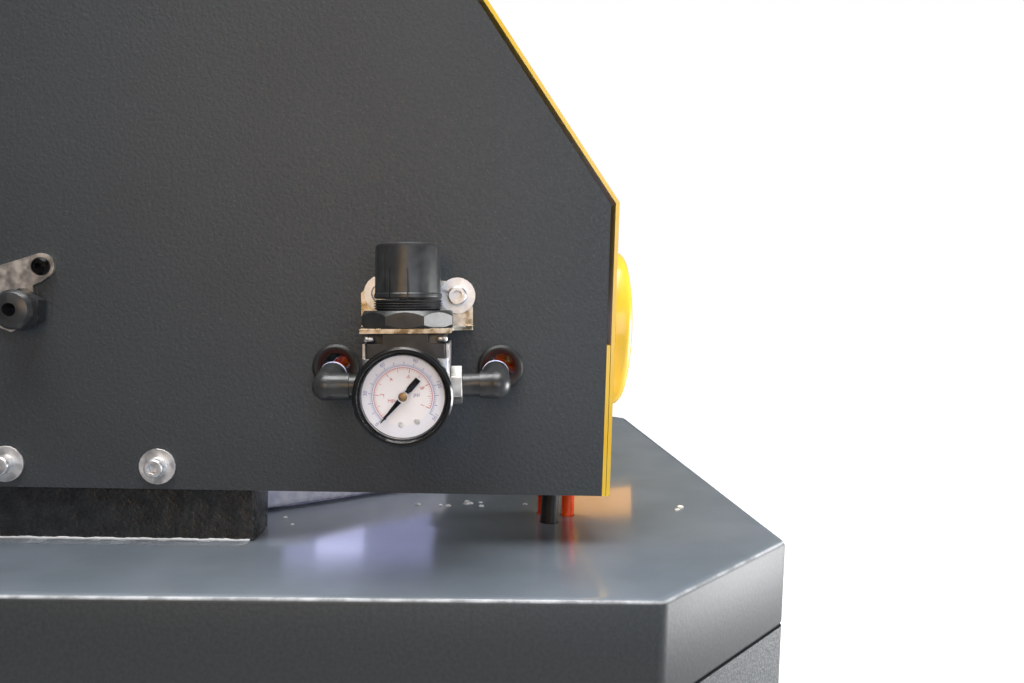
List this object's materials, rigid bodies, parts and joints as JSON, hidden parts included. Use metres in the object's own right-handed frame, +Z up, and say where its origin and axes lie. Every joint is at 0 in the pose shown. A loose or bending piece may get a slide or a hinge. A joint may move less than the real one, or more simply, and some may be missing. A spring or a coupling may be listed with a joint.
{
  "type": "wet grinding sharpener",
  "caption": "Free-standing wet grinding machine for saw blades: cabinet with coolant tank, drip tray, enclosed head with lift-up hood, tilting grinding unit, air regulator and gauge",
  "frame": {"origin": "centre of the bounding box in plan, on the floor", "axes": "+Z up, -Y the operator's side, the air regulator is on the -X side"},
  "size_m": [0.65, 0.86, 1.545],
  "materials": {
    "cabinet": "dark grey powder coat with a fine leather texture",
    "drip_tray": "glossy blue-grey enamel, wet-looking on top and textured on the skirt",
    "bed_casting": "dark machine enamel brushed over rough castings",
    "column": "dark machine enamel brushed over rough castings",
    "side_panel_left": "dark grey powder coat with a fine leather texture",
    "side_panel_right": "dark grey powder coat with a fine leather texture",
    "rear_cover": "dark grey powder coat with a fine leather texture",
    "front_apron": "signal-yellow gloss powder coat",
    "coolant_valve": "turned and cast brass",
    "coolant_nozzle": "zinc- or nickel-plated steel",
    "coolant_hose": "black, slightly dusty",
    "coolant_pipe": "zinc- or nickel-plated steel",
    "control_box": "light grey powder coat",
    "display": "dark glass-fronted panel",
    "regulator_bracket": "yellow chromated zinc plate",
    "regulator_body": "die-cast, fine blasted skin",
    "regulator_bonnet": "black moulded, fine grain",
    "regulator_nut": "black moulded, fine grain",
    "gauge_case": "black moulded, fine grain",
    "gauge_dial": "printed white sheet",
    "gauge_glass": "clear polished plastic",
    "port_hex_front": "zinc- or nickel-plated steel",
    "elbow_front": "black moulded, fine grain",
    "elbow_rear": "black moulded, fine grain",
    "air_tube_front": "orange polyurethane tube",
    "air_tube_rear": "orange polyurethane tube",
    "grommet_front": "black, slightly dusty",
    "grommet_rear": "black, slightly dusty",
    "bed_screw_front": "zinc- or nickel-plated steel",
    "bed_screw_rear": "zinc- or nickel-plated steel",
    "bracket_screw_front": "zinc- or nickel-plated steel",
    "bracket_screw_rear": "zinc- or nickel-plated steel",
    "gland_bracket": "zinc- or nickel-plated steel",
    "cable_gland": "black moulded, fine grain",
    "gland_screw": "black-oxide socket screw",
    "hood": "signal-yellow gloss powder coat",
    "hood_window": "clear polished plastic",
    "hood_handle": "black moulded, fine grain",
    "hood_dome": "signal-yellow gloss powder coat",
    "cabinet_door": "dark grey powder coat with a fine leather texture",
    "door_latch": "zinc- or nickel-plated steel",
    "coolant_tank": "dark grey powder coat with a fine leather texture",
    "coolant_pump": "blue-grey motor enamel",
    "vertical_slide": "dark machine enamel brushed over rough castings",
    "grinding_head": "dark machine enamel brushed over rough castings",
    "grinding_motor": "blue-grey motor enamel",
    "wheel_guard": "dark grey powder coat with a fine leather texture",
    "spindle": "zinc- or nickel-plated steel",
    "grinding_wheel": "bonded abrasive",
    "blade_carriage": "dark machine enamel brushed over rough castings",
    "blade_arbor": "zinc- or nickel-plated steel",
    "clamp_knob": "black moulded, fine grain",
    "index_finger": "zinc- or nickel-plated steel",
    "valve_lever": "blue dipped lever",
    "estop_button": "red moulded",
    "start_button": "green moulded",
    "stop_button": "red moulded",
    "main_switch": "black moulded, fine grain",
    "regulator_knob": "black moulded, fine grain",
    "gauge_needle": "black moulded, fine grain"
  },
  "bodies": {
    "frame": {"cabinet": "cabinet", "drip_tray": "drip_tray", "bed_casting": "bed_casting", "column": "column", "side_panel_left": "side_panel_left", "side_panel_right": "side_panel_right", "rear_cover": "rear_cover", "front_apron": "front_apron", "coolant_valve": "coolant_valve", "coolant_nozzle": "coolant_nozzle", "coolant_hose": "coolant_hose", "coolant_pipe": "coolant_pipe", "control_box": "control_box", "display": "display", "regulator_bracket": "regulator_bracket", "regulator_body": "regulator_body", "regulator_bonnet": "regulator_bonnet", "regulator_nut": "regulator_nut", "gauge_case": "gauge_case", "gauge_dial": "gauge_dial", "gauge_glass": "gauge_glass", "port_hex_front": "port_hex_front", "elbow_front": "elbow_front", "elbow_rear": "elbow_rear", "air_tube_front": "air_tube_front", "air_tube_rear": "air_tube_rear", "grommet_front": "grommet_front", "grommet_rear": "grommet_rear", "bed_screw_front": "bed_screw_front", "bed_screw_rear": "bed_screw_rear", "bracket_screw_front": "bracket_screw_front", "bracket_screw_rear": "bracket_screw_rear", "gland_bracket": "gland_bracket", "cable_gland": "cable_gland", "gland_screw": "gland_screw"},
    "hood_unit": {"hood": "hood", "hood_window": "hood_window", "hood_handle": "hood_handle", "hood_dome": "hood_dome"},
    "door": {"cabinet_door": "cabinet_door"},
    "latch": {"door_latch": "door_latch"},
    "tank": {"coolant_tank": "coolant_tank", "coolant_pump": "coolant_pump"},
    "slide": {"vertical_slide": "vertical_slide"},
    "head": {"grinding_head": "grinding_head", "grinding_motor": "grinding_motor", "wheel_guard": "wheel_guard"},
    "wheel_unit": {"spindle": "spindle", "grinding_wheel": "grinding_wheel"},
    "carriage": {"blade_carriage": "blade_carriage"},
    "arbor": {"blade_arbor": "blade_arbor", "clamp_knob": "clamp_knob"},
    "finger": {"index_finger": "index_finger"},
    "lever": {"valve_lever": "valve_lever"},
    "estop": {"estop_button": "estop_button"},
    "start": {"start_button": "start_button"},
    "stop": {"stop_button": "stop_button"},
    "switch": {"main_switch": "main_switch"},
    "pressure_knob": {"regulator_knob": "regulator_knob"},
    "needle": {"gauge_needle": "gauge_needle"}
  },
  "joints": [
    {"name": "hood_hinge", "type": "hinge", "parent": "frame", "child": "hood_unit", "pos_m": [0, -0.04171, 1.34727], "axis": [-1, 0, 0], "range_deg": [0, 65]},
    {"name": "door_hinge", "type": "hinge", "parent": "frame", "child": "door", "pos_m": [-0.1985, -0.43, 0.525], "axis": [0, 0, -1], "range_deg": [0, 110]},
    {"name": "latch_turn", "type": "hinge", "parent": "door", "child": "latch", "pos_m": [0.165, -0.43, 0.525], "axis": [0, -1, 0], "range_deg": [0, 90]},
    {"name": "tank_slide", "type": "slide", "parent": "frame", "child": "tank", "axis": [0, -1, 0], "range_m": [0, 0.4]},
    {"name": "head_feed", "type": "slide", "parent": "frame", "child": "slide", "axis": [0, 0, 1], "range_m": [-0.05, 0.015]},
    {"name": "head_tilt", "type": "hinge", "parent": "slide", "child": "head", "pos_m": [0, 0.105, 1.15], "axis": [0, 1, 0], "range_deg": [-20, 20]},
    {"name": "wheel_spin", "type": "hinge", "parent": "head", "child": "wheel_unit", "pos_m": [0, -0.04, 1.12], "axis": [1, 0, 0], "continuous": true},
    {"name": "carriage_slide", "type": "slide", "parent": "frame", "child": "carriage", "axis": [0, 1, 0], "range_m": [-0.04, 0.06]},
    {"name": "arbor_spin", "type": "hinge", "parent": "carriage", "child": "arbor", "pos_m": [0, -0.06, 0.925], "axis": [0, 1, 0], "continuous": true},
    {"name": "finger_pivot", "type": "hinge", "parent": "carriage", "child": "finger", "pos_m": [0.051, -0.058, 0.961], "axis": [0, 1, 0], "range_deg": [-15, 20], "stiffness_Nm_per_rad": 0.2},
    {"name": "valve_turn", "type": "hinge", "parent": "frame", "child": "lever", "pos_m": [-0.218, -0.12, 1.0203], "axis": [0, 0, 1], "range_deg": [0, 90]},
    {"name": "estop_press", "type": "slide", "parent": "frame", "child": "estop", "axis": [0, 1, 0], "range_m": [0, 0.004], "stiffness_N_per_m": 600},
    {"name": "start_press", "type": "slide", "parent": "frame", "child": "start", "axis": [0, 1, 0], "range_m": [0, 0.003], "stiffness_N_per_m": 400},
    {"name": "stop_press", "type": "slide", "parent": "frame", "child": "stop", "axis": [0, 1, 0], "range_m": [0, 0.003], "stiffness_N_per_m": 400},
    {"name": "switch_turn", "type": "hinge", "parent": "frame", "child": "switch", "pos_m": [0.005, 0.04, 1.388], "axis": [0, -1, 0], "range_deg": [0, 90]},
    {"name": "pressure_turn", "type": "hinge", "parent": "frame", "child": "pressure_knob", "pos_m": [-0.267, -0.21875, 0.88997], "axis": [0, 0.0332, 0.9995], "range_deg": [0, 1080]},
    {"name": "needle_swing", "type": "hinge", "parent": "frame", "child": "needle", "pos_m": [-0.3137, -0.2213, 0.8464], "axis": [1, 0, 0], "range_deg": [0, 270], "stiffness_Nm_per_rad": 0.00001}
  ]
}
